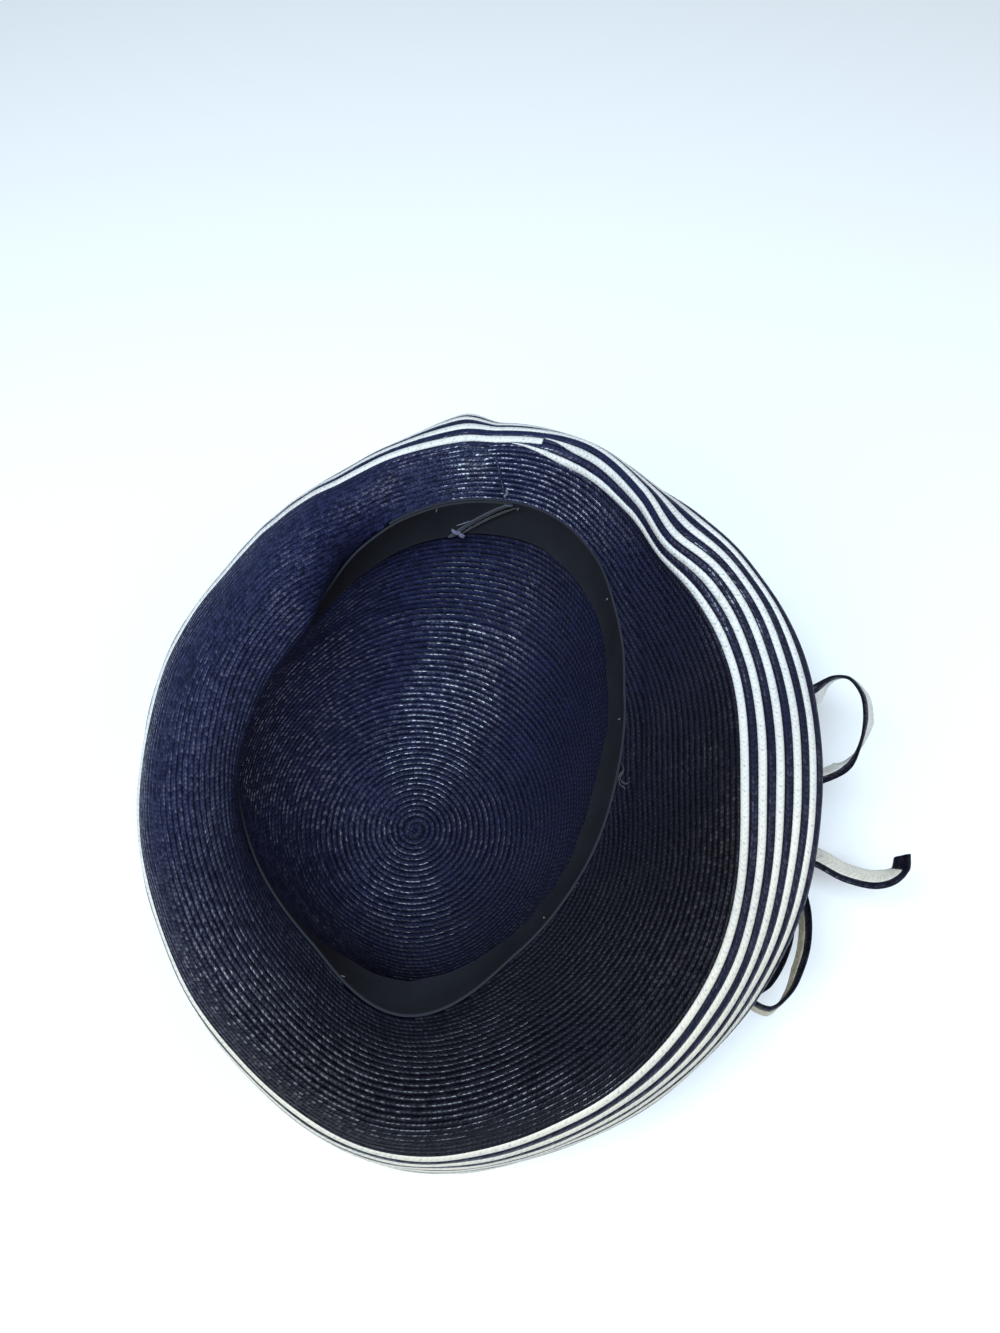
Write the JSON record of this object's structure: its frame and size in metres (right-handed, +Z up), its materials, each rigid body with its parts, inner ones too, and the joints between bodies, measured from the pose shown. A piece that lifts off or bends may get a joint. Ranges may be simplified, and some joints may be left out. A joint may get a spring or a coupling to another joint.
{
  "type": "sun hat",
  "caption": "Braided straw sun hat lying on its crown, with a rolled wide brim, striped rim, inner sweatband and flat braid bow.",
  "frame": {"origin": "centre of the crown tip's flat outer face, which the hat lies on", "axes": "+Z up, out of the head opening; +Y towards the back of the hat, where the braid and sweatband are joined; +X towards the bow"},
  "size_m": [0.3015, 0.3042, 0.1166],
  "materials": {
    "navy_braid": "glossy plaited synthetic straw",
    "white_braid": "satin plaited synthetic straw",
    "grosgrain": "matt ribbed ribbon",
    "bow_braid": "satin flat braid with a navy edge"
  },
  "bodies": {
    "root": {"crown": "navy_braid", "brim": "navy_braid", "white_stripe": "white_braid", "navy_stripe": "navy_braid", "sweatband": "grosgrain", "bow_loop_back": "bow_braid", "bow_loop_front": "bow_braid", "bow_tail": "bow_braid", "bow_knot": "bow_braid"}
  },
  "joints": []
}
